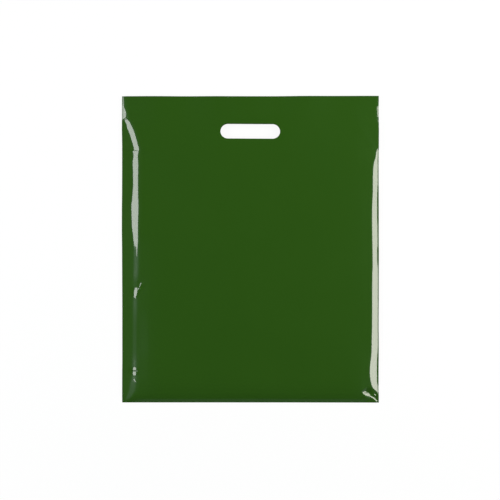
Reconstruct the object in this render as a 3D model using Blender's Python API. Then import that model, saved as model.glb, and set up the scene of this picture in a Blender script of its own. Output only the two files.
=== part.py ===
"""Polythene carrier bag with a punched-out hand slot, lying on its back and slightly puffed.

One web of film, folded and welded: a front panel, a back panel and a bottom gusset between them.
Metres, +Z up. The back panel lies on Z = 0, +Y runs from the bottom folds to the mouth, and the
origin is under the middle of the bag. A place "up the bag" is measured from the bottom folds,
"below the mouth" from the mouth, and "in" from the nearer side edge.
"""

import math

import bmesh
import bpy

# The film and the bag it is made into
FILM = 0.00007
BAG_WIDTH = 0.383
BAG_HEIGHT = 0.457
GUSSET_DEPTH = 0.038

# The hand slot, punched through both panels
SLOT_LENGTH = 0.0892
SLOT_WIDTH = 0.0222
SLOT_BELOW_MOUTH = 0.0417
SLOT_END_STEPS = 12

# The side welds, with the bead that the hot knife leaves along the cut
WELD_WIDTH = 0.0015
BEAD_CREST = 0.0004
BEAD_PROUD = 0.0001
LEFT_WELD_HEIGHT = 0.0033
RIGHT_WELD_HEIGHT = 0.0044
WELD_SHARE = 0.62

# How far the front panel stands off the surface that the bag lies on
PUFF = 0.010
LIP_HEIGHT = 0.007
FOLD_HEIGHT = 0.0026
LIP_FALLS_FROM = 0.072
FOLD_FALLS_FROM = 0.021

# The left side: a shallow margin, a short wall that is steeper, then the panel
MARGIN_SLOPE = 0.125
LEFT_FOOT = 0.0145
LEFT_RIDGE = 0.0243
LEFT_LOW_FOOT = 0.0172
LEFT_WALL_SLOPE = 0.47
LEFT_LOW_WALL_SLOPE = 0.33
LEFT_FIRST_KINK = 0.034
LEFT_SECOND_KINK = 0.080
LEFT_SOFTENS_AT = 0.228
LEFT_CORNER_FROM = 0.027
CORNER_FOOT = 0.0024
CORNER_RIDGE = 0.0062

# The right side: the wall rises straight from the weld
RIGHT_FOOT = 0.0018
RIGHT_RIDGE = 0.0100
RIGHT_LOW_RIDGE = 0.0136
RIGHT_WALL_SLOPE = 0.47
RIGHT_WALL_STARTS = 0.077
RIGHT_WALL_FULL = 0.106
RIGHT_LOW_AT = 0.059
RIGHT_CORNER_FROM = 0.014
SLIGHT_WALL = 0.0012
WALL_BLEND = 0.015

# Where each panel levels out, in from the side edge
LEFT_SHOULDER = 0.044
RIGHT_SHOULDER = 0.030
LEFT_BACK_FLAT = 0.022
RIGHT_BACK_FLAT = 0.016

# The sharpness of the creases, and how finely the film is divided
CREASE = 0.0012
CREASE_INSET = 0.95
BACK_BEND = 0.006
FOLD_PINCH = 0.0005
GUSSET_TIP = 0.0006
GUSSET_GAP = 0.0003
PANEL_COLUMNS = 7
PANEL_ROW = 0.030
LEAST_SHAPED_ROW = 0.002
LEAST_PANEL_ROW = 0.010
FOLD_ROW_SHARES = (0.25, 0.5, 0.75, 1.0, 1.25, 1.5)
BEND_STEPS = 2
JOIN = 0.000001

# The film's finish, and the turn in degrees past which an edge is shaded sharp
SHARP_TURN = 40
FILM_GREEN = (0.0252, 0.0844, 0.0080, 1.0)
FILM_ROUGHNESS = 0.12

HALF_WIDTH = BAG_WIDTH / 2
HALF_HEIGHT = BAG_HEIGHT / 2


def through(points, at):
    """The value at a place, on straight lines through (place, value) pairs."""
    for (a, low), (b, high) in zip(points, points[1:]):
        if at <= b:
            share = min(max((at - a) / (b - a), 0.0), 1.0)
            return low + (high - low) * share
    return points[-1][1]


def bent(corners, radius, at):
    """The height at a place on a folded line, with each inner corner rounded over the radius."""
    for k in range(1, len(corners) - 1):
        (x0, z0), (x1, z1), (x2, z2) = corners[k - 1 : k + 2]
        reach = min(radius, (x1 - x0) / 2, (x2 - x1) / 2)
        if abs(at - x1) >= reach:
            continue
        before = (z1 - z0) / (x1 - x0)
        after = (z2 - z1) / (x2 - x1)
        into = at - x1 + reach
        return z1 + before * (at - x1) + (after - before) * into * into / (4 * reach)
    return through(corners, at)


def panel_top(up):
    """The height of the level part of the front panel."""
    corners = [
        (0.0, FOLD_HEIGHT),
        (FOLD_FALLS_FROM, PUFF),
        (BAG_HEIGHT - LIP_FALLS_FROM, PUFF),
        (BAG_HEIGHT, LIP_HEIGHT),
    ]
    return bent(corners, FOLD_FALLS_FROM / 2, up)


def left_wall(up):
    """(foot, ridge, slope) of the left wall: it leaves the corner at the mouth and runs slanting in."""
    mouth = BAG_HEIGHT
    places = [
        (0.0, CORNER_FOOT, CORNER_RIDGE, LEFT_WALL_SLOPE),
        (LEFT_CORNER_FROM, LEFT_LOW_FOOT, LEFT_RIDGE, LEFT_LOW_WALL_SLOPE),
        (mouth - LEFT_SOFTENS_AT, LEFT_LOW_FOOT, LEFT_RIDGE, LEFT_LOW_WALL_SLOPE),
        (mouth - LEFT_SOFTENS_AT + WALL_BLEND, LEFT_FOOT, LEFT_RIDGE, LEFT_WALL_SLOPE),
        (mouth - LEFT_SECOND_KINK, LEFT_FOOT, LEFT_RIDGE, LEFT_WALL_SLOPE),
        (mouth - LEFT_FIRST_KINK, CORNER_FOOT, CORNER_RIDGE, LEFT_WALL_SLOPE),
        (mouth, CORNER_FOOT, CORNER_FOOT + 2 * SLIGHT_WALL, LEFT_WALL_SLOPE),
    ]
    return [through([(p[0], p[k]) for p in places], up) for k in (1, 2, 3)]


def right_wall(up):
    """(foot, ridge, slope) of the right wall: it starts below the slot and ends above the corner."""
    mouth = BAG_HEIGHT
    slight = RIGHT_FOOT + SLIGHT_WALL
    places = [
        (0.0, slight),
        (RIGHT_CORNER_FROM, slight),
        (RIGHT_LOW_AT - RIGHT_CORNER_FROM, RIGHT_LOW_RIDGE),
        (RIGHT_LOW_AT, RIGHT_LOW_RIDGE),
        (RIGHT_LOW_AT + WALL_BLEND, RIGHT_RIDGE),
        (mouth - RIGHT_WALL_FULL, RIGHT_RIDGE),
        (mouth - RIGHT_WALL_STARTS, slight),
        (mouth, slight),
    ]
    return RIGHT_FOOT, through(places, up), RIGHT_WALL_SLOPE


def weld_half(up):
    """Half the thickness of a side weld: four layers beside the gusset, and two above it."""
    layers = through([(GUSSET_DEPTH, 4), (GUSSET_DEPTH + GUSSET_TIP, 2)], up)
    return FILM * layers / 2


def weld_height(up, height):
    """How high a side weld runs, which is lower where the bag is flatter."""
    return min(height, panel_top(up) * WELD_SHARE)


def side_corners(up, height, wall, shoulder):
    """The front panel's corners on one side, as (in, height) from the weld to the shoulder."""
    foot, ridge, slope = wall(up)
    seat = weld_height(up, height) + weld_half(up)
    foot_height = seat + (foot - WELD_WIDTH) * MARGIN_SLOPE
    ridge_height = min(foot_height + (ridge - foot) * slope, panel_top(up) - FILM)
    return [
        (WELD_WIDTH, seat),
        (foot, foot_height),
        (ridge, ridge_height),
        (shoulder, panel_top(up)),
    ]


def front_corners(up):
    """The whole front panel's corners across the bag, as (from the left edge, height)."""
    left = side_corners(up, LEFT_WELD_HEIGHT, left_wall, LEFT_SHOULDER)
    right = side_corners(up, RIGHT_WELD_HEIGHT, right_wall, RIGHT_SHOULDER)
    return left + [(BAG_WIDTH - inward, z) for inward, z in reversed(right)]


def back_corners(up):
    """The back panel's corners: level on the table, and lifted to the weld at each side."""
    left = weld_height(up, LEFT_WELD_HEIGHT) - weld_half(up)
    right = weld_height(up, RIGHT_WELD_HEIGHT) - weld_half(up)
    return [
        (WELD_WIDTH, left),
        (LEFT_BACK_FLAT, 0.0),
        (BAG_WIDTH - RIGHT_BACK_FLAT, 0.0),
        (BAG_WIDTH - WELD_WIDTH, right),
    ]


def rounding(corners, k):
    """The places that divide the crease at corner k."""
    (x0, _), (x1, _), (x2, _) = corners[k - 1 : k + 2]
    reach = min(CREASE, (x1 - x0) / 2, (x2 - x1) / 2)
    return [x1 + reach * CREASE_INSET * (2 * n / BEND_STEPS - 1) for n in range(BEND_STEPS + 1)]


def columns(up):
    """Places across the bag, from the left edge. They follow the creases, so the count is fixed."""
    corners = front_corners(up)
    left = [0.0, BEAD_CREST, WELD_WIDTH]
    for k in (1, 2):
        left += rounding(corners, k)
    right = [BAG_WIDTH - x for x in (WELD_WIDTH, BEAD_CREST, 0.0)]
    for k in (6, 5):
        right = rounding(corners, k) + right
    inner, outer = LEFT_SHOULDER, BAG_WIDTH - RIGHT_SHOULDER
    middle = [inner + (outer - inner) * n / PANEL_COLUMNS for n in range(PANEL_COLUMNS + 1)]
    return left + middle + right


def rows():
    """Places up the bag: close together at the folds and kinks, and even between them."""
    mouth = BAG_HEIGHT
    kept = [0.0, FOLD_PINCH, GUSSET_DEPTH, GUSSET_DEPTH + GUSSET_TIP, mouth]
    shaped = [FOLD_FALLS_FROM * share for share in FOLD_ROW_SHARES]
    shaped += [LEFT_CORNER_FROM, RIGHT_CORNER_FROM, RIGHT_LOW_AT - RIGHT_CORNER_FROM]
    shaped += [RIGHT_LOW_AT, RIGHT_LOW_AT + WALL_BLEND]
    below = [LEFT_FIRST_KINK, LEFT_SECOND_KINK, LEFT_SOFTENS_AT, LIP_FALLS_FROM]
    below += [LEFT_SOFTENS_AT - WALL_BLEND, RIGHT_WALL_STARTS, RIGHT_WALL_FULL]
    below += [(LEFT_FIRST_KINK + LEFT_SECOND_KINK) / 2, LEFT_FIRST_KINK / 2]
    shaped += [mouth - place for place in below]
    count = math.ceil(mouth / PANEL_ROW)
    even = [mouth * n / count for n in range(1, count)]
    for places, apart in ((shaped, LEAST_SHAPED_ROW), (even, LEAST_PANEL_ROW)):
        for place in places:
            if min(abs(place - other) for other in kept) > apart:
                kept.append(place)
    return sorted(kept)


def slope_stretch(corners, radius, at):
    """How much taller the film is, cut upright, than its thickness: it leans with the panel."""
    step = FILM
    rise = bent(corners, radius, at + step) - bent(corners, radius, at - step)
    return math.hypot(1.0, rise / (2 * step))


class Film:
    """The surfaces of the film as grids of points, [row][column]."""

    def __init__(self):
        self.rows = rows()
        self.across = [columns(up) for up in self.rows]
        self.last = len(self.across[0]) - 1
        self.weld = (2, self.last - 2)
        self.gusset_row = self.rows.index(GUSSET_DEPTH)
        self.outer_front = self.grid(self.front_outside)
        self.outer_back = self.grid(self.back_outside)
        self.inner_front = self.grid(self.front_inside)
        self.inner_back = self.grid(self.back_inside)
        self.gusset_front = self.grid(self.gusset_front_inside)
        self.gusset_back = self.grid(self.gusset_back_inside)
        self.groove_front = self.grid(self.groove_top)
        self.groove_back = self.grid(self.groove_bottom)

    def grid(self, height):
        return [
            [
                (x - HALF_WIDTH, up - HALF_HEIGHT, height(i, j))
                for j, x in enumerate(self.across[i])
            ]
            for i, up in enumerate(self.rows)
        ]

    def bead(self, i, j):
        """What the bead adds to or takes from the half thickness of the weld."""
        if j in (0, self.last):
            return -weld_half(self.rows[i]) / 2
        return BEAD_PROUD if j in (1, self.last - 1) else 0.0

    def front_outside(self, i, j):
        return bent(front_corners(self.rows[i]), CREASE, self.across[i][j]) + self.bead(i, j)

    def back_outside(self, i, j):
        return bent(back_corners(self.rows[i]), BACK_BEND, self.across[i][j]) - self.bead(i, j)

    def front_inside(self, i, j):
        up, at = self.rows[i], self.across[i][j]
        corners = front_corners(up)
        stretch = 1.0 if j in self.weld else slope_stretch(corners, CREASE, at)
        return bent(corners, CREASE, at) - FILM * stretch

    def back_inside(self, i, j):
        up, at = self.rows[i], self.across[i][j]
        corners = back_corners(up)
        stretch = 1.0 if j in self.weld else slope_stretch(corners, BACK_BEND, at)
        return bent(corners, BACK_BEND, at) + FILM * stretch

    def between(self, i, j):
        """The heights of both panels' inner faces, and midway between them, where the gusset folds."""
        front, back = self.front_inside(i, j), self.back_inside(i, j)
        return front, back, (front + back) / 2

    def gap(self, i, j):
        """The space left inside the gusset's inner fold, which closes at the welds."""
        front, back, _ = self.between(i, j)
        return min(GUSSET_GAP, (front - back - 2 * FILM) / 4)

    def gusset_front_inside(self, i, j):
        front, _, fold = self.between(i, j)
        if i > self.gusset_row:
            return fold
        end = fold + FILM + self.gap(i, j) / 2
        return front + (end - front) * self.rows[i] / GUSSET_DEPTH

    def gusset_back_inside(self, i, j):
        _, back, fold = self.between(i, j)
        if i > self.gusset_row:
            return fold
        end = fold - FILM - self.gap(i, j) / 2
        return back + (end - back) * self.rows[i] / GUSSET_DEPTH

    def groove_top(self, i, j):
        fold = self.between(i, j)[2]
        return fold if i == self.gusset_row else self.gusset_front_inside(i, j) - FILM

    def groove_bottom(self, i, j):
        fold = self.between(i, j)[2]
        return fold if i == self.gusset_row else self.gusset_back_inside(i, j) + FILM


def build_bag_mesh(film):
    """The whole film as one closed surface."""
    mesh = bmesh.new()

    def face(*points):
        mesh.faces.new([mesh.verts.new(point) for point in points])

    def skin(surface, row_span, column_span):
        """Two triangles a cell, cut the same way on every surface so that the film stays even.

        The cut runs out of each corner where two layers come together, at a weld and a fold.
        """
        for i in range(*row_span):
            for j in range(*column_span):
                near, far = surface[i], surface[i + 1]
                if (i < film.gusset_row // 2) == (j < film.last // 2):
                    face(near[j], near[j + 1], far[j + 1])
                    face(near[j], far[j + 1], far[j])
                else:
                    face(near[j], near[j + 1], far[j])
                    face(near[j + 1], far[j + 1], far[j])

    top, last = len(film.rows) - 1, film.last
    first_weld, last_weld = film.weld
    inside = (first_weld, last_weld)
    skin(film.outer_front, (0, top), (0, last))
    skin(film.outer_back, (0, top), (0, last))
    skin(film.inner_front, (1, top), inside)
    skin(film.inner_back, (1, top), inside)

    # The gusset shares its first row with the panels, where the fold pinches the film together.
    for gusset, panel in (
        (film.gusset_front, film.inner_front),
        (film.gusset_back, film.inner_back),
    ):
        skin([gusset[0], panel[1]] + gusset[2:], (1, film.gusset_row + 1), inside)
    skin(film.groove_front, (0, film.gusset_row), inside)
    skin(film.groove_back, (0, film.gusset_row), inside)

    # The side edges, the bottom folds and the lips of the mouth
    front, back = film.outer_front, film.outer_back
    for j in (0, last):
        for i in range(top):
            face(front[i][j], front[i + 1][j], back[i + 1][j], back[i][j])
    ends = ((0, film.groove_front, film.groove_back), (top, film.inner_front, film.inner_back))
    for i, facing_front, facing_back in ends:
        for j in range(*inside):
            face(front[i][j], front[i][j + 1], facing_front[i][j + 1], facing_front[i][j])
            face(back[i][j], back[i][j + 1], facing_back[i][j + 1], facing_back[i][j])
        for near, far in ((0, 1), (last, last - 1)):
            face(front[i][near], front[i][far], back[i][far], back[i][near])
        for near, far in ((1, first_weld), (last - 1, last_weld)):
            face(front[i][near], front[i][far], facing_front[i][far], back[i][far], back[i][near])
    bmesh.ops.remove_doubles(mesh, verts=mesh.verts, dist=JOIN)
    bmesh.ops.recalc_face_normals(mesh, faces=mesh.faces)
    return mesh


def add_object(name, mesh):
    data = bpy.data.meshes.new(name)
    mesh.to_mesh(data)
    mesh.free()
    made = bpy.data.objects.new(name, data)
    bpy.context.scene.collection.objects.link(made)
    return made


def polythene():
    """Glossy pigmented film."""
    material = bpy.data.materials.new("green_polythene")
    material.use_nodes = True
    shader = material.node_tree.nodes["Principled BSDF"]
    shader.inputs["Base Color"].default_value = FILM_GREEN
    shader.inputs["Roughness"].default_value = FILM_ROUGHNESS
    shader.inputs["Metallic"].default_value = 0.0
    return material


def slot_punch():
    """The slot's outline, a rectangle with round ends, as an upright cutter through the bag."""
    radius = SLOT_WIDTH / 2
    middle = HALF_HEIGHT - SLOT_BELOW_MOUTH - radius
    reach = PUFF / 2
    outline = []
    for side, start in ((1, -90), (-1, 90)):
        for n in range(SLOT_END_STEPS + 1):
            turn = math.radians(start + 180 * n / SLOT_END_STEPS)
            centre = side * (SLOT_LENGTH / 2 - radius)
            outline.append((centre + radius * math.cos(turn), middle + radius * math.sin(turn)))
    mesh = bmesh.new()
    base = mesh.faces.new([mesh.verts.new((x, y, -reach)) for x, y in outline])
    raised = bmesh.ops.extrude_face_region(mesh, geom=[base])["geom"]
    moved = [item for item in raised if isinstance(item, bmesh.types.BMVert)]
    bmesh.ops.translate(mesh, verts=moved, vec=(0.0, 0.0, PUFF + 2 * reach))
    bmesh.ops.recalc_face_normals(mesh, faces=mesh.faces)
    punch = add_object("slot_punch", mesh)
    punch.hide_render = True
    punch.display_type = "WIRE"
    return punch


def build():
    for old in list(bpy.data.objects):
        bpy.data.objects.remove(old)
    bag = add_object("carrier_bag", build_bag_mesh(Film()))
    bag.data.materials.append(polythene())
    bag.data.shade_smooth()
    bag.data.set_sharp_from_angle(angle=math.radians(SHARP_TURN))
    cut = bag.modifiers.new("hand_slot", "BOOLEAN")
    cut.operation = "DIFFERENCE"
    cut.object = slot_punch()


build()
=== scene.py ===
"""A polythene carrier bag with a punched-out hand slot, lying on its back, in a plain light studio.

Lengths are metres unless a name or comment says millimetres. The bag lies on Z = 0 with its mouth
towards +Y. A place "across" is measured from the bag's left edge, "below" from its mouth and "up"
from its bottom folds.
"""

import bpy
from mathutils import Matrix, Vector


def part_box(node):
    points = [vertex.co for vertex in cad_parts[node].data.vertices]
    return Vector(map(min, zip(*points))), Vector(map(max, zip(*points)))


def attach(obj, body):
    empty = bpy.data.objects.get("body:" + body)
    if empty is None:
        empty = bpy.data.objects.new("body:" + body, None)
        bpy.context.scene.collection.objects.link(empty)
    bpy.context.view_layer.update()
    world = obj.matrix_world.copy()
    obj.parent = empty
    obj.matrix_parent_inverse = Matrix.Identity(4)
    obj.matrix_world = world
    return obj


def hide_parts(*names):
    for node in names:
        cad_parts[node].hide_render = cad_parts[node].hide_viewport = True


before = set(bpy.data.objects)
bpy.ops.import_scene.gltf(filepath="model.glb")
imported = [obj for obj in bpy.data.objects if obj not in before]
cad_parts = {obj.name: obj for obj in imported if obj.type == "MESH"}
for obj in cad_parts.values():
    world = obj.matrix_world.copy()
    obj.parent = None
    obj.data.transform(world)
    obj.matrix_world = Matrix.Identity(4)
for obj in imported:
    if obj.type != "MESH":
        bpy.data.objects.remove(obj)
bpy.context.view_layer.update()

import math

import bmesh
import bpy
import numpy as np
from bpy.props import FloatProperty, PointerProperty, StringProperty
from mathutils import Vector

bl_info = {
    "name": "Polythene carrier bag",
    "version": (1, 0, 0),
    "blender": (4, 5, 0),
    "location": "3D View > Sidebar > Carrier Bag",
    "description": "Makes a punched-handle carrier bag of glossy film "
    "and the light table it lies on",
    "category": "Object",
}

MM = 0.001
# Too short to see: the reach of a crease that isn't rounded, and the least gap between two places
CREASE = 1e-6
NODE = "carrier_bag"
LOW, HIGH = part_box(NODE)


def linear(hex_colour):
    """An sRGB hex colour as linear red, green and blue."""
    channels = [int(hex_colour[i : i + 2], 16) / 255 for i in (0, 2, 4)]
    return [c / 12.92 if c <= 0.04045 else ((c + 0.055) / 1.055) ** 2.4 for c in channels]


# The creases of this bag, in millimetres. Each row is (below the mouth, value).

# The left wall stands between its foot and its ridge, which are measured from the left edge.
LEFT_FOOT = (
    (0, 1.6), (34.2, 1.6), (35.8, 4.0), (38, 4.6), (42, 6.8), (47, 7.4), (51, 9.2), (56, 11.1),
    (60, 12.7), (65, 13.9), (69, 15.1), (74, 16.5), (79, 17.8), (81.2, 18.0), (82.0, 15.8),
    (87, 16.7), (92, 16.8), (96, 15.6), (105, 15.8), (118, 16.1), (136, 16.3), (145, 15.6),
    (154, 15.1), (163, 13.9), (172, 14.1), (186, 14.7), (195, 14.9), (204, 16.1), (208, 16.7),
    (213, 16.8), (218, 17.2), (222, 17.3), (227, 17.4), (234, 17.6), (260, 17.3), (275, 16.6),
    (300, 16.4), (345, 15.8), (400, 15.4), (420, 14.6), (430, 11.8), (439, 10.4), (447, 7.2),
    (457, 2.6),
)
LEFT_RIDGE = (
    (0, 3.2), (12, 3.2), (15, 2.9), (20, 4.6), (24, 6.2), (29.5, 6.3), (32, 5.9), (34.4, 7.4),
    (38, 11.1), (42, 13.4), (47, 15.5), (51, 17.7), (56, 19.3), (60, 20.6), (65, 21.9),
    (69, 23.1), (74, 24.3), (78, 25.7), (81.6, 25.9), (83, 25.2), (87, 24.4), (92, 24.1),
    (96, 24.2), (100, 25.4), (105, 24.8), (118, 24.8), (123, 24.6), (141, 24.8), (145, 24.5),
    (154, 24.8), (159, 25.2), (172, 25.1), (177, 24.8), (186, 24.5), (195, 24.3), (213, 24.3),
    (227, 24.7), (240, 24.9), (262, 24.6), (275, 23.2), (300, 22.6), (345, 22.2), (400, 21.6),
    (430, 21.2), (439, 19.6), (447, 14.6), (452, 10.6), (457, 6.0),
)
LEFT_SLOPE = (
    (0, 0.36), (13, 0.38), (15, 0.46), (209, 0.47), (217, 0.42), (222, 0.375), (227, 0.34),
    (262, 0.328), (270, 0.322), (275, 0.26), (278, 0.22), (285, 0.22), (292, 0.29), (310, 0.33),
    (330, 0.28), (345, 0.25), (380, 0.23), (395, 0.32), (424, 0.32), (430, 0.287), (450, 0.27),
    (457, 0.06),
)
# How softly the left wall bends at its foot and its ridge
LEFT_BEND = ((0, 0.9), (215, 0.9), (240, 1.6), (430, 1.8), (457, 1.2))
# The slope of the film between the left weld and the wall
LEFT_MARGIN = ((81.2, 0.125), (82.0, 0.092), (100, 0.125))
# The slope of the left weld itself
LEFT_LEAN = ((0, 0.37), (13, 0.38), (15, 0.46), (34.6, 0.46), (37.2, 0.10), (457, 0.10))

# The right wall rises straight from the weld to its ridge, measured from the right edge.
RIGHT_FOOT = (
    (0, 1.6), (130, 1.6), (138, 2.0), (152, 2.4), (182, 2.5), (196, 2.0), (222, 1.9), (229, 2.5),
    (250, 2.5), (255, 1.6), (374, 1.6), (384, 2.1), (396, 2.5), (426, 2.4), (432, 1.6),
    (457, 1.6),
)
RIGHT_RIDGE = (
    (0, 2.4), (14, 2.4), (17, 2.6), (25, 2.4), (32, 2.1), (42, 2.0), (78, 2.0), (81, 3.2),
    (84, 4.0), (92, 4.9), (99, 7.5), (106, 8.5), (114, 8.8), (121, 9.2), (144, 9.2), (151, 9.7),
    (159, 10.0), (166, 10.4), (189, 10.5), (204, 10.3), (226, 10.0), (248, 9.7), (256, 9.7),
    (263, 10.2), (285, 10.4), (330, 10.4), (346, 10.5), (353, 10.8), (368, 11.2), (383, 11.4),
    (391, 11.8), (395, 12.6), (398, 13.2), (413, 13.8), (420, 13.1), (428, 11.6), (435, 9.3),
    (438.5, 5.3), (441, 2.6), (443, 2.2), (457, 2.0),
)
RIGHT_SLOPE = (
    (0, 0.20), (14, 0.25), (17, 0.46), (32, 0.42), (42, 0.20), (77, 0.20), (80, 0.47),
    (441.5, 0.47), (446, 0.20), (457, 0.20),
)
RIGHT_BEND = ((0, 0.9), (457, 0.9))
RIGHT_MARGIN = ((0, 0.125), (457, 0.125))
RIGHT_LEAN = (
    (0, 0.20), (13, 0.25), (16, 0.46), (32, 0.44), (40, 0.20), (78, 0.10), (81, 0.42),
    (106, 0.38), (130, 0.35), (136, 0.10), (188, 0.10), (198, 0.34), (222, 0.34), (228, 0.10),
    (250, 0.10), (255, 0.35), (316, 0.37), (330, 0.38), (342, 0.35), (370, 0.35), (378, 0.25),
    (392, 0.06), (428, 0.06), (432, 0.40), (441, 0.42), (444.5, 0.10), (457, 0.10),
)

# The height of the level part of the front panel, and of the side welds above the table
PANEL_HEIGHT = (
    (0, 7.0), (66, 9.7), (78, 10.0), (418, 10.0), (428, 9.8), (436, 9.1), (443, 7.8), (447, 6.5),
    (451, 5.0), (454.6, 2.6), (457, 0.7),
)
LEFT_WELD_HEIGHT = (
    (0, 3.2), (30, 3.4), (60, 3.4), (160, 3.2), (300, 3.4), (400, 3.0), (446, 2.6), (457, 0.5),
)
RIGHT_WELD_HEIGHT = (
    (0, 5.6), (14, 5.6), (18, 5.2), (32, 5.2), (42, 6.4), (74, 6.6), (82, 5.6), (99, 4.9),
    (120, 4.6), (220, 4.3), (330, 4.5), (360, 4.3), (392, 3.2), (425, 2.6), (446, 2.2),
    (457, 0.5),
)

# Inside its ridge each side has a brow, (how wide, its slope), and then a shoulder, which reaches
# the level part of the panel this far from the edge and bends softly there.
LEFT_BROW, RIGHT_BROW = (3.4, 0.22), (1.8, 0.20)
LEFT_SHOULDER, RIGHT_SHOULDER = 44, 30
SHOULDER_BEND = 6
# Each side's tables of lengths and of slopes, its brow and its shoulder
SIDES = {
    "left": (
        (LEFT_FOOT, LEFT_RIDGE, LEFT_BEND, LEFT_WELD_HEIGHT),
        (LEFT_SLOPE, LEFT_LEAN, LEFT_MARGIN),
        LEFT_BROW,
        LEFT_SHOULDER,
    ),
    "right": (
        (RIGHT_FOOT, RIGHT_RIDGE, RIGHT_BEND, RIGHT_WELD_HEIGHT),
        (RIGHT_SLOPE, RIGHT_LEAN, RIGHT_MARGIN),
        RIGHT_BROW,
        RIGHT_SHOULDER,
    ),
}
# How far from each side edge the back panel comes down to the table, and how softly
LEFT_REST, RIGHT_REST, REST_BEND = 22, 16, 6

# How far each side edge wanders outwards, by the place below the mouth
LEFT_WANDER = (
    (0, 0.0), (12, 0.1), (50, 0.3), (75, -0.1), (95, -0.1), (150, 0.1), (165, 0.4), (200, 0.4),
    (225, 0.1), (270, -0.1), (310, -0.3), (395, -0.3), (410, -0.1), (457, 0.0),
)
RIGHT_WANDER = (
    (0, 0.0), (25, -0.3), (50, 0.1), (80, -0.1), (105, -0.3), (160, -0.1), (230, 0.1), (300, 0.0),
    (345, -0.2), (380, 0.1), (400, -0.2), (430, -0.2), (457, 0.3),
)
# How far the mouth and the bottom folds wander outwards, by the place across
MOUTH_WANDER = ((0, -0.4), (120, -0.7), (200, -0.7), (265, -0.4), (330, -0.2), (383, 0.0))
BOTTOM_WANDER = ((0, 0.4), (120, 0.4), (250, 0.45), (383, 0.65))
# How far in from the sides and from the ends the wandering of the edges is felt
SIDE_WANDER_REACH, END_WANDER_REACH = 60, 90
# How the hand slot lies: its right end is a little low, and it is a little off the middle.
SLOT_TILT = 0.0058
SLOT_SHIFT = -0.2

# Short folds: (across, below) of the two ends, the width of the slope on the left and on the
# right of the fold, its height, and how far it fades beyond its ends. A valley is negative.
SHORT_FOLDS = (
    # the two kinks of the left wall
    ((0.8, 36.9), (8.2, 31.2), 1.1, 1.1, -0.50, 0.8),
    ((15.0, 81.3), (21.6, 81.2), 0.8, 0.8, -0.11, 1.6),
    # where the left wall softens
    ((23.4, 222.0), (23.1, 238.5), 1.5, 3.0, 0.055, 2.0),
    # the hooked crumple halfway down the left wall
    ((30.0, 278.6), (26.4, 288.4), 2.4, 2.4, 0.64, 1.0),
    ((26.4, 287.0), (20.6, 299.8), 7.0, 3.4, 0.58, 1.6),
    ((17.4, 286.4), (18.4, 298.8), 4.0, 7.0, -0.54, 1.6),
    # two glints low on the left wall, with a nick between them
    ((22.4, 405.4), (21.8, 414.8), 6.2, 4.0, 0.33, 1.2),
    ((15.8, 405.4), (15.6, 414.8), 4.0, 6.2, -0.33, 1.2),
    ((13.5, 409.8), (22.5, 409.6), 1.3, 1.3, -0.66, 1.0),
    # the short slanting fold below them
    ((18.9, 422.6), (21.9, 426.4), 1.2, 2.0, 0.17, 0.8),
    # faint pulls below the top right corner
    ((338.0, 17.0), (373.0, 77.0), 9.0, 9.0, 0.22, 6.0),
    ((294.0, 16.0), (327.0, 60.0), 8.0, 8.0, 0.12, 6.0),
    ((375.6, 52.0), (376.4, 62.0), 1.2, 1.2, 0.10, 1.0),
)

# Facets of the crumpled bottom right corner: (across, below) of the two ends of each one's middle
# line, its widths from end to end, its slope across that line, and how far it fades past its ends.
FACETS = (
    ((357.0, 441.0), (371.8, 447.0), (0.8, 7.2, 7.4, 3.6), -0.55, 0.8),
    ((372.6, 448.8), (380.6, 453.4), (2.0, 4.8, 4.4), -0.56, 0.9),
    ((376.2, 444.4), (379.6, 447.4), (1.9, 2.5), -0.58, 0.6),
)

# Gentle waves of the panels: (height, seed, shortest, longest)
FRONT_WAVES = ((0.55, 4, 90, 220), (0.06, 9, 28, 60))
BACK_WAVES = (0.10, 21, 40, 120)
# How far from the sides, the mouth and the bottom folds these waves fade out
CALM_SIDE, CALM_MOUTH, CALM_BOTTOM = 26, 6, 20
# Waves of the free lip of the mouth: their height, (share of it, length of one radian, phase) of
# each, and how far from the sides and from the mouth they fade out
LIP_HEIGHT = 1.1
LIP_WAVES = ((1.0, 21, 0.6), (0.45, 11, 2.1))
LIP_SIDE, LIP_REACH = 60, 80

# The rows of the mesh: (up from the bottom folds, gap between rows from there on). They are close
# where a crease runs across the bag.
ROW_GAPS = (
    (0, 1.0), (19, 1.4), (29.5, 0.8), (36, 1.7), (42, 0.8), (45.5, 0.5), (49, 0.8), (54, 7.5),
    (152, 1.0), (183, 6.5), (216, 2.2), (238, 6.5), (366, 1.2), (373, 0.5), (378, 1.2),
    (386, 2.5), (414, 0.8), (420, 0.5), (424, 0.8), (428, 1.8),
)
# The columns of the mesh, counted across each side's margin, wall, brow and shoulder, across each
# bend, and across the panel to the left of the slot's window, in it and to the right of it
LEFT_COLUMNS, RIGHT_COLUMNS = (4, 6, 6, 3), (2, 3, 3, 14)
BEND_COLUMNS = 4
PANEL_COLUMNS = (8, 20, 12)
# Half the length and half the width of the window in rows and columns that holds the slot, and the
# rings of triangles in it, as shares of the way to the slot's edge
SLOT_WINDOW = (56, 22)
SLOT_RINGS = (0.3, 0.56, 0.76, 0.9, 0.97, 1.0)
# Edges of the film that turn more than this stay sharp.
SHARP_TURN = math.radians(50)


def along(table, below):
    """Values from a table of millimetres, read at places in metres and returned in metres."""
    places, values = np.array(table, float).T
    return np.interp(below, places * MM, values * MM)


def slope_along(table, below):
    """Slopes from a table, read at places in metres."""
    places, values = np.array(table, float).T
    return np.interp(below, places * MM, values)


def ramp(past, reach):
    """Zero before a corner and the distance past it after, turned smoothly over the reach."""
    near = np.clip(past, -reach, reach)
    return np.where(past > reach, past, (near + reach) ** 2 / (4 * reach))


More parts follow.
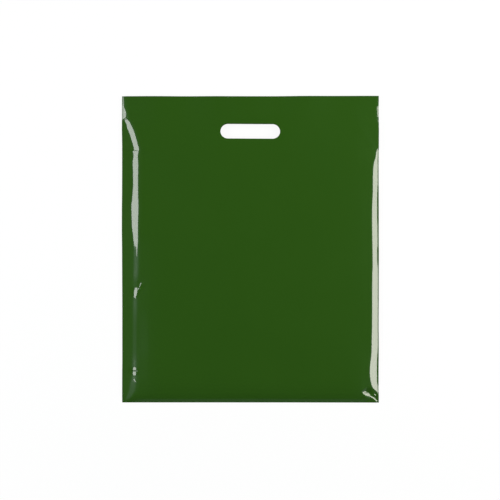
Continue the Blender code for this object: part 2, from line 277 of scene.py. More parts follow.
def folded(across, corners, reaches):
    """Heights across the bag: straight runs between corners, each corner rounded over its reach."""
    (x0, z0), (x1, z1) = corners[:2]
    slope = (z1 - z0) / (x1 - x0)
    height = z0 + slope * (across - x0)
    for (xa, za), (xb, zb), reach in zip(corners[1:], corners[2:], reaches):
        turned = (zb - za) / (xb - xa)
        height = height + (turned - slope) * ramp(across - xa, reach)
        slope = turned
    return height


def eased(share):
    """Zero below 0, one above 1 and a smooth rise between."""
    share = np.clip(share, 0, 1)
    return share**2 * (3 - 2 * share)


def beside_line(across, below, start, end):
    """How far a place is along a line and to its right, and the line's length."""
    (ax, ay), (bx, by) = [(x * MM, y * MM) for x, y in (start, end)]
    length = math.hypot(bx - ax, by - ay)
    dx, dy = (bx - ax) / length, (by - ay) / length
    run = (across - ax) * dx + (below - ay) * dy
    off = (across - ax) * dy - (below - ay) * dx
    return run, off, length


def faded(run, length, fade):
    """One along a line of that length, fading to zero beyond its ends."""
    return eased(1 + np.minimum(run, length - run) / (fade * MM))


def swell(across, below, seed, shortest, longest):
    """Gentle waves of mixed lengths (in millimetres) and directions, mostly between -1 and 1."""
    rng = np.random.default_rng(seed)
    count, steadying = 14, 1.6
    total = np.zeros_like(across)
    for _ in range(count):
        length = rng.uniform(shortest * MM, longest * MM)
        turn = rng.uniform(0, math.pi)
        phase = rng.uniform(0, 2 * math.pi)
        wave = (across * math.cos(turn) + below * math.sin(turn)) * 2 * math.pi / length
        total += np.cos(wave + phase)
    return total / math.sqrt(count) / steadying


class BagForm:
    """The heights of the bag's film, from the sizes in the panel and this bag's own creases."""

    def __init__(self, sizes):
        self.width = sizes.width
        self.height = sizes.height
        self.film = sizes.film
        self.gusset = sizes.gusset_depth
        self.weld = sizes.weld_width
        self.slot_half = (sizes.slot_length / 2, sizes.slot_width / 2)
        self.slot_below = sizes.slot_below + sizes.slot_width / 2
        # The bottom folds close over this height, and the gusset's fold over the next.
        self.pinch = 0.5 * MM
        self.tip = 0.6 * MM
        # The hot knife's bead: its crest from the cut, how wide it is and how proud it stands
        self.bead = 0.4 * MM
        self.bead_spread = 0.35 * MM
        self.bead_proud = 0.04 * MM

    def layers(self, below):
        """Half the thickness of a side weld: four layers beside the gusset, two above it."""
        up = self.height - below
        above = np.clip((up - self.gusset) / self.tip, 0, 1)
        return self.film * (2 - above)

    def side_profile(self, below, side):
        """One side's wall: its corners from the edge inwards, and how they are rounded."""
        lengths, slopes, (brow, brow_slope), shoulder = SIDES[side]
        foot, ridge, bend, weld = [along(table, below) for table in lengths]
        slope, lean, margin = [slope_along(table, below) for table in slopes]
        brow, shoulder = brow * MM, shoulder * MM
        level = along(PANEL_HEIGHT, below)
        # The foot stays clear of the weld and the ridge clear of the foot, whatever the sizes.
        foot = np.maximum(foot, self.weld + 0.1 * MM)
        ridge = np.maximum(ridge, foot + 0.3 * MM)
        bend = np.minimum(bend, (ridge - foot) / 2)
        brow_slope = np.minimum(brow_slope, slope * 0.5)
        seat = weld + self.layers(below)
        foot_height = seat + (foot - self.weld) * margin
        ridge_height = foot_height + (ridge - foot) * slope
        brow_height = ridge_height + brow * brow_slope
        # Where the panel is lower than the brow, the side comes down too, but the weld not so far
        # that it would touch the table.
        drop = np.clip(brow_height - level, 0, weld - self.layers(below))
        level = np.maximum(level, brow_height - drop)
        lean = np.minimum(lean, (weld - self.layers(below) - drop) / self.weld)
        nil = 0 * below
        corners = [
            (nil, seat - drop - self.weld * lean),
            (self.weld + nil, seat - drop),
            (foot, foot_height - drop),
            (ridge, ridge_height - drop),
            (ridge + brow, brow_height - drop),
            (shoulder + nil, level),
        ]
        # A corner is never rounded over more than most of the run beside it.
        tight = np.minimum(bend, (foot - self.weld) * 0.6)
        return corners, [CREASE, tight, bend, brow * 0.9, SHOULDER_BEND * MM], bend, tight

    def front_corners(self, below):
        """The front panel's corners from the left edge to the right, and how each is rounded."""
        left, left_reach = self.side_profile(below, "left")[:2]
        right, right_reach = self.side_profile(below, "right")[:2]
        corners = left + [(self.width - x, z) for x, z in reversed(right)]
        return corners, left_reach + right_reach[::-1]

    def moved(self, across, below):
        """Where a point of the flat bag lies, because its edges wander a little."""
        from_right = self.width - across
        up = self.height - below
        side, end = SIDE_WANDER_REACH * MM, END_WANDER_REACH * MM
        left = along(LEFT_WANDER, below) * np.clip(1 - across / side, 0, 1) ** 2
        right = along(RIGHT_WANDER, below) * np.clip(1 - from_right / side, 0, 1) ** 2
        top = along(MOUTH_WANDER, across) * np.clip(1 - below / end, 0, 1) ** 2
        bottom = along(BOTTOM_WANDER, across) * np.clip(1 - up / end, 0, 1) ** 2
        return across - left + right, below - top + bottom

    def folds(self, across, below):
        """The height that the short folds add."""
        total = np.zeros_like(across)
        for start, end, left, right, height, fade in SHORT_FOLDS:
            run, off, length = beside_line(across, below, start, end)
            side = np.where(off > 0, right * MM, left * MM)
            profile = eased(1 - np.abs(off) / side)
            total += height * MM * profile * faded(run, length, fade)
        return total

    def facets(self, across, below):
        """The height that the facets of the crumpled corner add."""
        total = np.zeros_like(across)
        for start, end, widths, slope, fade in FACETS:
            run, off, length = beside_line(across, below, start, end)
            stations = np.linspace(0, length, len(widths))
            half = np.interp(run, stations, np.array(widths) * MM / 2)
            # In half widths: level, then down to the facet's edge, across it and back to level
            corners = [(-6, 0), (-3, 0), (-1, -slope), (1, slope), (3, 0), (6, 0)]
            total += half * folded(off / half, corners, [0.25] * 4) * faded(run, length, fade)
        return total

    def calm(self, across, below):
        """One on the open panel, fading to zero at the welds, the mouth and the bottom folds."""
        side = np.minimum(across, self.width - across) / (CALM_SIDE * MM)
        end = np.minimum(below / (CALM_MOUTH * MM), (self.height - below) / (CALM_BOTTOM * MM))
        return np.clip(side, 0, 1) ** 2 * np.clip(end, 0, 1)

    def mouth_waves(self, across, below):
        """How the free lip of the front panel waves between the welds."""
        side = np.clip(np.minimum(across, self.width - across) / (LIP_SIDE * MM), 0, 1)
        near = np.clip(1 - below / (LIP_REACH * MM), 0, 1)
        waves = [size * np.sin(across / (turn * MM) + phase) for size, turn, phase in LIP_WAVES]
        return LIP_HEIGHT * MM * sum(waves) * side**2 * near**2

    def front(self, across, below):
        """The height of the front panel's outer face above the table."""
        corners, reaches = self.front_corners(below)
        height = folded(across, corners, reaches)
        waves = sum(size * MM * swell(across, below, *lengths) for size, *lengths in FRONT_WAVES)
        off_weld = np.clip(np.minimum(across, self.width - across) / self.weld - 1, 0, 1)
        creases = (self.folds(across, below) + self.facets(across, below)) * off_weld
        waves = waves * self.calm(across, below) + self.mouth_waves(across, below)
        return height + waves + creases

    def back(self, across, below):
        """The height of the back panel's outer face: on the table, and up to each weld."""
        welds = []
        for side in ("left", "right"):
            corners = self.side_profile(below, side)[0]
            welds.append([height - 2 * self.layers(below) for _, height in corners[:2]])
        flat = 0 * below
        corners = [
            (flat, welds[0][0]),
            (self.weld + flat, welds[0][1]),
            (LEFT_REST * MM + flat, flat),
            (self.width - RIGHT_REST * MM + flat, flat),
            (self.width - self.weld + flat, welds[1][1]),
            (self.width + flat, welds[1][0]),
        ]
        height = folded(across, corners, [CREASE, REST_BEND * MM, REST_BEND * MM, CREASE])
        size, *lengths = BACK_WAVES
        lift = size * MM * (1 + swell(across, below, *lengths))
        return height + np.maximum(lift, 0) * self.calm(across, below)

    def stretch(self, surface, across, below):
        """How much taller the film is, cut upright, than its thickness, where it leans."""
        step = 0.05 * MM
        by_x = (surface(across + step, below) - surface(across - step, below)) / (2 * step)
        by_y = (surface(across, below + step) - surface(across, below - step)) / (2 * step)
        seam = np.minimum(across, self.width - across) <= self.weld + CREASE
        return np.where(seam, 1.0, np.sqrt(1 + by_x**2 + by_y**2))

    def front_inside(self, across, below):
        """The height of the front panel's inner face."""
        film = self.film * self.stretch(self.front, across, below)
        return self.front(across, below) - film

    def back_inside(self, across, below):
        """The height of the back panel's inner face."""
        film = self.film * self.stretch(self.back, across, below)
        return self.back(across, below) + film

    def bead_shape(self, across):
        """What the hot knife's bead adds along a side edge, and what the cut takes off."""
        inward = np.minimum(across, self.width - across)
        crest = np.exp(-(((inward - self.bead) / self.bead_spread) ** 2)) * (inward < self.weld)
        return np.where(inward < CREASE, -self.film / 2, self.bead_proud * crest)


def spread(start, stop, count):
    """Even places from start up to, and without, stop. start and stop may be arrays."""
    return [start + (stop - start) * k / count for k in range(count)]


class BagMesh:
    """The film as one closed mesh of fine triangles, whose columns follow the creases."""

    def __init__(self, form):
        self.form = form
        self.points = []
        self.faces = []
        self.count = 0
        slot_up = form.height - form.slot_below
        self.window_rows = [slot_up - SLOT_WINDOW[1] * MM, slot_up + SLOT_WINDOW[1] * MM]
        self.rows = self.row_places()
        self.below = form.height - self.rows
        self.across, self.seams, self.window_columns = self.columns()
        self.pinch_row, self.fold_row = (
            int(np.searchsorted(self.rows, place - CREASE)) for place in (form.pinch, form.gusset)
        )

    def row_places(self):
        """The rows, up from the bottom folds: those that the build needs, and others between."""
        form = self.form
        kept = [0.0, form.pinch, form.gusset, form.gusset + form.tip, form.height]
        kept += self.window_rows
        # A row is left out where it is nearer than this share of a gap to one that is kept.
        too_near = 0.45
        zones = [*ROW_GAPS, (form.height / MM, None)]
        for (start, gap), (stop, _) in zip(zones, zones[1:]):
            steps = max(1, round((stop - start) / gap))
            for place in spread(start * MM, stop * MM, steps):
                if min(abs(place - other) for other in kept) > gap * MM * too_near:
                    kept.append(place)
        return np.array(sorted(kept))

    def side_columns(self, side, counts, shoulder):
        """A side's columns from edge to shoulder, row by row, and how many are on the weld."""
        form, nil = self.form, 0 * self.below
        corners, _, bend, tight = form.side_profile(self.below, side)
        foot, ridge = corners[2][0], corners[3][0]
        past_brow = 3 * MM
        brow = corners[4][0] + past_brow
        in_margin, in_wall, in_brow, in_shoulder = counts
        # The cut edge, and the bead's near side, crest and far side
        places = [nil, nil + form.bead / 2, nil + form.bead, nil + form.bead * 2]
        outside = len(places)
        places += spread(nil + form.weld, foot - tight, in_margin)
        places += spread(foot - tight, foot + tight, BEND_COLUMNS)
        places += spread(foot + tight, ridge - bend, in_wall)
        places += spread(ridge - bend, ridge + bend, BEND_COLUMNS)
        places += spread(ridge + bend, brow, in_brow)
        places += spread(brow, nil + shoulder, in_shoulder)
        return places, outside

    def columns(self):
        """The columns, row by row, which two run along the welds, and which two bound the slot."""
        width, nil = self.form.width, 0 * self.below
        start, stop = LEFT_SHOULDER * MM, width - RIGHT_SHOULDER * MM
        left, outside = self.side_columns("left", LEFT_COLUMNS, LEFT_SHOULDER * MM)
        right, _ = self.side_columns("right", RIGHT_COLUMNS, RIGHT_SHOULDER * MM)
        window = (width / 2 - SLOT_WINDOW[0] * MM, width / 2 + SLOT_WINDOW[0] * MM)
        before, inside, after = PANEL_COLUMNS
        middle = spread(start, window[0], before) + spread(window[0], window[1], inside)
        middle += spread(window[1], stop, after) + [stop]
        middle = [nil + place for place in middle]
        table = left + middle + [width - place for place in reversed(right)]
        seams = (outside, len(table) - 1 - outside)
        first = len(left) + before
        return np.array(table).T, seams, (first, first + inside)

    def add(self, across, below, height):
        """New points from arrays of one shape, as an array of their numbers."""
        x, y = self.form.moved(across, below)
        x, y = x - self.form.width / 2, self.form.height / 2 - y
        self.points.append(np.stack([x, y, height], -1).reshape(-1, 3))
        ids = np.arange(self.count, self.count + across.size).reshape(across.shape)
        self.count += across.size
        return ids

    def surface(self, height):
        """A whole panel's grid of points at the heights that a function gives."""
        below = np.repeat(self.below[:, None], self.across.shape[1], 1)
        return self.add(self.across, below, height(self.across, below))

    def skin(self, ids, rows, columns, hole=None):
        """Triangles over a grid of points, cut alike on every surface so that the film is even."""
        for i in range(*rows):
            for j in range(*columns):
                if hole and hole[0] <= i < hole[1] and hole[2] <= j < hole[3]:
                    continue
                a, b, c, d = ids[i][j], ids[i][j + 1], ids[i + 1][j + 1], ids[i + 1][j]
                # The cuts slant up and inwards low in the gusset, and up and outwards elsewhere.
                if (i < self.fold_row // 2) == (j < len(ids[i]) // 2):
                    self.faces += [(a, b, c), (a, c, d)]
                else:
                    self.faces += [(a, b, d), (b, c, d)]

    def slot_ring(self, hole):
        """The window's edge and the slot's, as matching loops anticlockwise from the top right."""
        form = self.form
        i0, i1, j0, j1 = hole
        top = [(i1, j) for j in range(j1, j0, -1)]
        left = [(i, j0) for i in range(i1, i0, -1)]
        bottom = [(i0, j) for j in range(j0, j1)]
        right = [(i, j1) for i in range(i0, i1)]
        window = top + left + bottom + right
        # The straight edges of the slot face all but this many columns at each end of the window.
        turn_in = 6
        straight = (j1 - j0) - 2 * turn_in
        bend = (i1 - i0) + 2 * turn_in
        half_length, radius = form.slot_half
        run = half_length - radius
        edge = []
        for side, start in ((1, 90), (-1, 270)):
            for k in range(straight):
                edge.append((side * (run - 2 * run * k / straight), side * radius))
            for k in range(bend):
                angle = math.radians(start + 180 * k / bend)
                edge.append((-side * run + radius * math.cos(angle), radius * math.sin(angle)))
        edge = edge[-turn_in:] + edge[:-turn_in]
        edge = [(x + y * SLOT_TILT, y - x * SLOT_TILT) for x, y in edge]
        edge = [(form.width / 2 + SLOT_SHIFT * MM + x, form.slot_below - y) for x, y in edge]
        return window, np.array(edge)

    def line_slot(self, ids, height, hole):
        """Fills the window round the slot on one surface and returns the slot's edge."""
        window, edge = self.slot_ring(hole)
        outer = np.array([(self.across[i][j], self.below[i]) for i, j in window])
        rings = [np.array([ids[i][j] for i, j in window])]
        for share in SLOT_RINGS:
            places = outer + (edge - outer) * share
            rings.append(self.add(places[:, 0], places[:, 1], height(places[:, 0], places[:, 1])))
        for near, far in zip(rings, rings[1:]):
            for k in range(len(near)):
                n = (k + 1) % len(near)
                self.faces += [(near[k], near[n], far[n]), (near[k], far[n], far[k])]
        return rings[-1]

    def strip(self, first, second):
        """Triangles between two rows of points."""
        for a, b, c, d in zip(first, first[1:], second[1:], second):
            self.faces += [(a, b, c), (a, c, d)]

    def build(self):
        """The bag's mesh: both faces of each panel and of the gusset, the slot and the edges."""
        form = self.form
        rows, columns = self.across.shape
        top, last = rows - 1, columns - 1
        near, far = self.seams
        pinch, fold = self.pinch_row, self.fold_row
        tip = fold + 1
        outer_front = self.surface(lambda s, b: form.front(s, b) + form.bead_shape(s))
        outer_back = self.surface(lambda s, b: form.back(s, b) - form.bead_shape(s))
        inner_front = self.surface(form.front_inside)
        inner_back = self.surface(form.back_inside)

        # The gusset's two legs run from the bottom folds to the tip midway between the panels.
        across, below = self.across[: tip + 1], np.repeat(self.below[: tip + 1, None], columns, 1)
        share = (form.height - below) / form.gusset
        front_fold, back_fold = form.front_inside(across, below), form.back_inside(across, below)
        middle = (front_fold + back_fold) / 2
        # At the tip the legs stand this far apart, or a quarter of the room there if that is less.
        widest_gap = 0.3 * MM
        gap = np.minimum(widest_gap, (front_fold - back_fold - 2 * form.film) / 4)
        front_leg = front_fold + (middle + form.film + gap / 2 - front_fold) * share
        back_leg = back_fold + (middle - form.film - gap / 2 - back_fold) * share
        leg_front = self.add(across, below, front_leg)
        leg_back = self.add(across, below, back_leg)
        groove_front = self.add(across, below, front_leg - form.film)
        groove_back = self.add(across, below, back_leg + form.film)
        ridge = self.add(across[tip], below[tip], middle[tip])
        valley = self.add(across[fold], below[fold], middle[fold])

        # The layers share points along the welds and where the film is folded.
        for side in (near, far):
            inner_back[tip:, side] = inner_front[tip:, side]
            leg_front[: tip + 1, side] = inner_front[: tip + 1, side]
            leg_back[: tip + 1, side] = inner_back[: tip + 1, side]
            groove_back[: tip + 1, side] = groove_front[: tip + 1, side]
        leg_front[pinch] = inner_front[pinch]
        leg_back[pinch] = inner_back[pinch]
        leg_front[tip, near + 1 : far] = ridge[near + 1 : far]
        leg_back[tip, near + 1 : far] = ridge[near + 1 : far]
        for side in (near, far):
            leg_front[tip, side] = leg_back[tip, side] = inner_front[tip, side]
        groove_front[fold, near + 1 : far] = valley[near + 1 : far]
        groove_back[fold, near + 1 : far] = valley[near + 1 : far]

        slot_rows = [int(np.argmin(np.abs(self.rows - place))) for place in self.window_rows]
        hole = (*slot_rows, *self.window_columns)
        self.skin(outer_front, (0, top), (0, last), hole)
        self.skin(outer_back, (0, top), (0, last), hole)
        self.skin(inner_front, (pinch, top), (near, far), hole)
        self.skin(inner_back, (pinch, top), (near, far), hole)
        self.skin(leg_front, (pinch, tip), (near, far))
        self.skin(leg_back, (pinch, tip), (near, far))
        self.skin(groove_front, (0, fold), (near, far))
        self.skin(groove_back, (0, fold), (near, far))
        for outer, inner, outside, inside in (
            (outer_front, inner_front, form.front, form.front_inside),
            (outer_back, inner_back, form.back, form.back_inside),
        ):
            loops = [self.line_slot(outer, outside, hole), self.line_slot(inner, inside, hole)]
            self.strip(*[np.append(loop, loop[0]) for loop in loops])

        # The cut sides, the lips of the mouth and the bottom folds
        for side in (0, last):
            self.strip(outer_front[:, side], outer_back[:, side])
        for row, front, back in ((top, inner_front, inner_back), (0, groove_front, groove_back)):
            self.strip(outer_front[row, near : far + 1], front[row, near : far + 1])
            self.strip(outer_back[row, near : far + 1], back[row, near : far + 1])
            for seam, edge, step in ((near, 0, -1), (far, last, 1)):
                rim = list(range(seam, edge + step, step))
                top_rim, low_rim = outer_front[row, rim], outer_back[row, rim]
                self.strip(top_rim, low_rim)
                join = front[row, seam]
                self.faces.append((top_rim[0], low_rim[0], join))
        return self.finished()

    def finished(self):
        """The mesh without unused points, smooth but for its sharp edges, and closed."""
        mesh = bpy.data.meshes.new(NODE)
        points = np.concatenate(self.points)
        used = np.unique(np.array(self.faces))
        number = np.full(len(points), -1)
        number[used] = np.arange(len(used))
        faces = [f for f in number[np.array(self.faces)].tolist() if len(set(f)) == 3]
        mesh.from_pydata(points[used].tolist(), [], faces)
        work = bmesh.new()
        work.from_mesh(mesh)
        bmesh.ops.recalc_face_normals(work, faces=work.faces)
        for face in work.faces:
            face.smooth = True
        for edge in work.edges:
            edge.smooth = edge.calc_face_angle(math.pi) < SHARP_TURN
        loose = sum(not edge.is_manifold for edge in work.edges)
        work.to_mesh(mesh)
        work.free()
        if loose:
            raise RuntimeError(f"the bag's film has {loose} open edges")
        return mesh


def add_node(tree, kind, settings=None, links=None):
    """A new node with its settings, and with links from other nodes' outputs to its inputs."""
    node = tree.nodes.new(kind)
    for name, value in (settings or {}).items():
        if isinstance(name, int) or name in node.inputs:
            node.inputs[name].default_value = value
        else:
            setattr(node, name, value)
    for name, output in (links or {}).items():
        tree.links.new(output, node.inputs[name])
    return node


def blown_polythene(colours):
    """Low-density polythene, blown into a tube and pigmented right through.

    The surface is smooth and glossy with a slight haze, the pigment drifts a little, and the tube's
    die leaves faint lines across the bag.
    """
    pigment_drift, haze_patch, crinkle_size = 90 * MM, 30 * MM, 12 * MM
    # Die lines are finer than a millimetre on the real film. They are drawn 6 mm apart to show.
    die_lines = (350 * MM, 6 * MM, 50 * MM)
    crinkle_height, line_height = 0.04 * MM, 0.01 * MM
    glossiest, haziest = 0.07, 0.13
    material = bpy.data.materials.new("blown_polythene_film")
    material.use_nodes = True
    tree = material.node_tree
    shader = tree.nodes["Principled BSDF"]
    shader.inputs["IOR"].default_value = 1.51
    place = add_node(tree, "ShaderNodeTexCoord").outputs["Object"]
    drift = add_node(
        tree,
        "ShaderNodeTexNoise",
        {"Scale": 1 / pigment_drift, "Detail": 3.0, "Roughness": 0.5},
        {"Vector": place},
    )
    tint = add_node(
        tree,
        "ShaderNodeMix",
        {"data_type": "RGBA", 6: (*linear(colours.film_dark), 1), 7: (*linear(colours.film), 1)},
        {0: drift.outputs["Fac"]},
    )
    tree.links.new(tint.outputs[2], shader.inputs["Base Color"])
    haze = add_node(
        tree,
        "ShaderNodeTexNoise",
        {"Scale": 1 / haze_patch, "Detail": 4.0, "Roughness": 0.55},
        {"Vector": place},
    )
    gloss = add_node(
        tree,
        "ShaderNodeMapRange",
        {"From Min": 0.3, "From Max": 0.7, "To Min": glossiest, "To Max": haziest},
        {"Value": haze.outputs["Fac"]},
    )
    tree.links.new(gloss.outputs["Result"], shader.inputs["Roughness"])
    stretched = add_node(
        tree,
        "ShaderNodeMapping",
        {"Scale": [1 / length for length in die_lines]},
        {"Vector": place},
    )
    lines = add_node(
        tree,
        "ShaderNodeTexNoise",
        {"Scale": 1.0, "Detail": 2.0},
        {"Vector": stretched.outputs["Vector"]},
    )
    crinkle = add_node(
        tree, "ShaderNodeTexNoise", {"Scale": 1 / crinkle_size, "Detail": 2.0}, {"Vector": place}
    )
    low = add_node(
        tree,
        "ShaderNodeBump",
        {"Strength": 1.0, "Distance": crinkle_height},
        {"Height": crinkle.outputs["Fac"]},
    )
    bump = add_node(
        tree,
        "ShaderNodeBump",
        {"Strength": 1.0, "Distance": line_height},
        {"Height": lines.outputs["Fac"], "Normal": low.outputs["Normal"]},
    )
    tree.links.new(bump.outputs["Normal"], shader.inputs["Normal"])
    return material


def light_table():
    """A matt white table, which photographs as plain white and keeps the bag's shadow."""
    # To the camera and in reflections this share of it glows. The rest takes the shadow.
    glow = 0.92
    material = bpy.data.materials.new("white_light_table")
    material.use_nodes = True
    tree = material.node_tree
    shader = tree.nodes["Principled BSDF"]
    shader.inputs["Base Color"].default_value = (*linear("F4F4F4"), 1)
    shader.inputs["Roughness"].default_value = 0.7
    ray = add_node(tree, "ShaderNodeLightPath")
    seen = add_node(
        tree,
        "ShaderNodeMath",
        {"operation": "MAXIMUM"},
        {0: ray.outputs["Is Camera Ray"], 1: ray.outputs["Is Glossy Ray"]},
    )
    seen = add_node(
        tree,
        "ShaderNodeMath",
        {"operation": "MAXIMUM"},
        {0: seen.outputs[0], 1: ray.outputs["Is Transmission Ray"]},
    )
    part = add_node(
        tree, "ShaderNodeMath", {"operation": "MULTIPLY", 1: glow}, {0: seen.outputs[0]}
    )
    white = add_node(
        tree, "ShaderNodeEmission", {"Color": (*linear("FFFFFF"), 1), "Strength": 1.0}
    )
    blend = add_node(
        tree,
        "ShaderNodeMixShader",
        {},
        {0: part.outputs[0], 1: shader.outputs[0], 2: white.outputs[0]},
    )
    tree.links.new(blend.outputs[0], tree.nodes["Material Output"].inputs["Surface"])
    return material


# How bright the studio is by how far to the side one looks, from straight up (0) to level (1)
STUDIO_LEVELS = ((0.0, 0.3), (0.3, 0.9), (0.45, 2.4), (0.58, 5.5), (0.68, 8.5), (1.0, 6.0))


def studio_world(light):
    """White side walls and a dim ceiling, as in a studio. White to the camera."""
    # The near wall is lit too, from its start towards -Y on, to the level at this place.
    near_start, near_full, near_place = -0.82, -0.93, 0.45
    world = bpy.data.worlds.new("studio")
    world.use_nodes = True
    tree = world.node_tree
    background = tree.nodes["Background"]
    way = add_node(tree, "ShaderNodeTexCoord").outputs["Generated"]
    parts = add_node(tree, "ShaderNodeSeparateXYZ", {}, {0: way})
    sideways = add_node(tree, "ShaderNodeMath", {"operation": "ABSOLUTE"}, {0: parts.outputs["X"]})
    nearer = add_node(
        tree,
        "ShaderNodeMapRange",
        {"From Min": near_start, "From Max": near_full, "To Min": 0.0, "To Max": near_place},
        {"Value": parts.outputs["Y"]},
    )
    lit = add_node(
        tree,
        "ShaderNodeMath",
        {"operation": "MAXIMUM"},
        {0: sideways.outputs[0], 1: nearer.outputs["Result"]},
    )
    ramp_node = add_node(tree, "ShaderNodeValToRGB", {}, {0: lit.outputs[0]})
    stops = ramp_node.color_ramp.elements
    wall = linear(light.walls)
    stops[0].position, stops[1].position = STUDIO_LEVELS[0][0], STUDIO_LEVELS[-1][0]
    for place, _ in STUDIO_LEVELS[1:-1]:
        stops.new(place)
    for stop, (_, level) in zip(stops, STUDIO_LEVELS):
        stop.color = (*[min(1.0, c * level * light.studio) for c in wall], 1)
    ray = add_node(tree, "ShaderNodeLightPath")
    colour = add_node(
        tree,
        "ShaderNodeMix",
        {"data_type": "RGBA", 7: (*linear("FFFFFF"), 1)},
        {0: ray.outputs["Is Camera Ray"], 6: ramp_node.outputs["Color"]},
    )
    tree.links.new(colour.outputs[2], background.inputs["Color"])
    background.inputs["Strength"].default_value = 1.0
    return world


# The softboxes: linear colour, where on the X axis it is aimed, its angle from straight up, its
# angle round from +X, how wide and how tall it looks (all in degrees), and how far away it is
SOFTBOXES = {
    "left": ((1.0, 0.995, 0.985), -0.17, 53, 180, 46, 16, 1.5),
    "right": ((1.0, 0.955, 0.87), 0.185, 53, -1, 36, 16, 1.5),
    "top": ((1.0, 1.0, 0.96), 0.05, 50, 62, 34, 20, 1.3),
}


def softbox(name, radiance, colour, aim, polar, turn, wide, tall, away):
    """A soft area light that the camera doesn't see."""
    lamp = bpy.data.lights.new(name, "AREA")
    lamp.shape = "RECTANGLE"
    lamp.size = 2 * away * math.tan(math.radians(wide / 2))
    lamp.size_y = 2 * away * math.tan(math.radians(tall / 2))
    lamp.energy = radiance * math.pi * lamp.size * lamp.size_y
    lamp.color = colour
    holder = bpy.data.objects.new(name, lamp)
    bpy.context.scene.collection.objects.link(holder)
    polar, turn = math.radians(polar), math.radians(turn)
    level = math.sin(polar)
    way = Vector((level * math.cos(turn), level * math.sin(turn), math.cos(polar)))
    holder.location = Vector((aim, 0, 0)) + way * away
    holder.rotation_euler = way.to_track_quat("Z", "Y").to_euler()
    holder.visible_camera = False


class BagSizes(bpy.types.PropertyGroup):
    """The sizes a user would change."""

    width: FloatProperty(
        name="Width", description="Across the bag, weld to weld", unit="LENGTH", default=0.383
    )
    height: FloatProperty(
        name="Height",
        description="From the mouth to the bottom folds",
        unit="LENGTH",
        default=HIGH[1] - LOW[1],
    )
    gusset_depth: FloatProperty(
        name="Gusset", description="How deep the bottom is folded in", unit="LENGTH", default=0.038
    )
    film: FloatProperty(
        name="Film",
        description="Thickness of the film",
        unit="LENGTH",
        precision=5,
        default=0.00007,
    )
    weld_width: FloatProperty(
        name="Weld",
        description="Width of each side weld",
        unit="LENGTH",
        precision=4,
        default=0.0015,
    )
    slot_length: FloatProperty(
        name="Slot length",
        description="Across the bag, over the round ends",
        unit="LENGTH",
        default=0.0890,
    )
    slot_width: FloatProperty(
        name="Slot width", description="Up and down the bag", unit="LENGTH", default=0.0225
    )
    slot_below: FloatProperty(
        name="Slot below mouth",
        description="From the mouth to the slot",
        unit="LENGTH",
        precision=4,
        default=0.0414,
    )


class BagColours(bpy.types.PropertyGroup):
    """The film's pigment."""

    film: StringProperty(name="Film", description="sRGB hex colour of the film", default="294D11")
    film_dark: StringProperty(
        name="Film, darker",
        description="sRGB hex colour where the pigment is denser",
        default="274B10",
    )


class StudioLight(bpy.types.PropertyGroup):
    """The studio's light and camera."""

    left: FloatProperty(
        name="Left softbox", description="Brightness of the left softbox", default=8.6
    )
    right: FloatProperty(
        name="Right softbox", description="Brightness of the right softbox", default=12.0
    )
    top: FloatProperty(
        name="Top softbox", description="Brightness of the softbox beyond the mouth", default=6.8
    )
    studio: FloatProperty(
        name="Studio", description="Brightness of the studio's walls and ceiling", default=0.10
    )
    walls: StringProperty(
        name="Walls", description="sRGB hex colour of the studio walls", default="EAFBFF"
    )
    camera_height: FloatProperty(
        name="Camera height", description="Camera above the table", unit="LENGTH", default=2.075
    )


class CARRIERBAG_OT_film(bpy.types.Operator):
    """Make the bag: front panel, back panel and bottom gusset, welded at the sides"""

    bl_idname = "carrierbag.film"
    bl_label = "Bag Film"

    def execute(self, context):
        sizes = context.scene.bag_sizes
        mesh = BagMesh(BagForm(sizes)).build()
        mesh.materials.append(blown_polythene(context.scene.bag_colours))
        bag = bpy.data.objects.new("bag_film", mesh)
        context.scene.collection.objects.link(bag)
        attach(bag, "root")
        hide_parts(NODE)
        return {"FINISHED"}


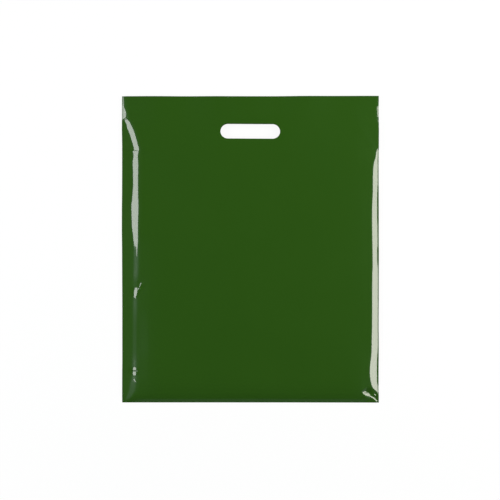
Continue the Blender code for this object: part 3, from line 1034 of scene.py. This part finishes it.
class CARRIERBAG_OT_stage(bpy.types.Operator):
    """Make the table, the studio light and the camera straight above"""

    bl_idname = "carrierbag.stage"
    bl_label = "Light Table and Camera"

    def execute(self, context):
        scene, light = context.scene, context.scene.studio_light
        mesh = bpy.data.meshes.new("table")
        # Just below the bag, so that the film never shares its surface
        reach, level = 6.0, -0.1 * MM
        around = ((-reach, -reach), (reach, -reach), (reach, reach), (-reach, reach))
        mesh.from_pydata([(x, y, level) for x, y in around], [], [(0, 1, 2, 3)])
        mesh.materials.append(light_table())
        table = bpy.data.objects.new("table", mesh)
        scene.collection.objects.link(table)
        scene.world = studio_world(light)
        for side, placing in SOFTBOXES.items():
            softbox(f"{side}_softbox", getattr(light, side), *placing)
        lens = bpy.data.cameras.new("camera")
        lens.lens = 100
        lens.sensor_width = 36
        lens.clip_end = 50
        camera = bpy.data.objects.new("camera", lens)
        # The bag lies a little off the middle of the picture.
        camera.location = (-0.6 * MM, -1.2 * MM, light.camera_height)
        scene.collection.objects.link(camera)
        scene.camera = camera
        scene.view_settings.view_transform = "Standard"
        return {"FINISHED"}


class CARRIERBAG_PT_panel(bpy.types.Panel):
    """The bag's sizes, colours and light, and a button for each part"""

    bl_label = "Carrier Bag"
    bl_idname = "CARRIERBAG_PT_panel"
    bl_space_type = "VIEW_3D"
    bl_region_type = "UI"
    bl_category = "Carrier Bag"

    def draw(self, context):
        groups = (
            (context.scene.bag_sizes, CARRIERBAG_OT_film),
            (context.scene.bag_colours, None),
            (context.scene.studio_light, CARRIERBAG_OT_stage),
        )
        for group, operator in groups:
            box = self.layout.box()
            for name in group.__annotations__:
                box.prop(group, name)
            if operator:
                box.operator(operator.bl_idname)


CLASSES = (
    BagSizes,
    BagColours,
    StudioLight,
    CARRIERBAG_OT_film,
    CARRIERBAG_OT_stage,
    CARRIERBAG_PT_panel,
)


def register():
    for cls in CLASSES:
        bpy.utils.register_class(cls)
    bpy.types.Scene.bag_sizes = PointerProperty(type=BagSizes)
    bpy.types.Scene.bag_colours = PointerProperty(type=BagColours)
    bpy.types.Scene.studio_light = PointerProperty(type=StudioLight)


def unregister():
    for name in ("bag_sizes", "bag_colours", "studio_light"):
        delattr(bpy.types.Scene, name)
    for cls in reversed(CLASSES):
        bpy.utils.unregister_class(cls)


def main():
    register()
    bpy.ops.carrierbag.stage()
    bpy.ops.carrierbag.film()


if __name__ == "__main__":
    main()
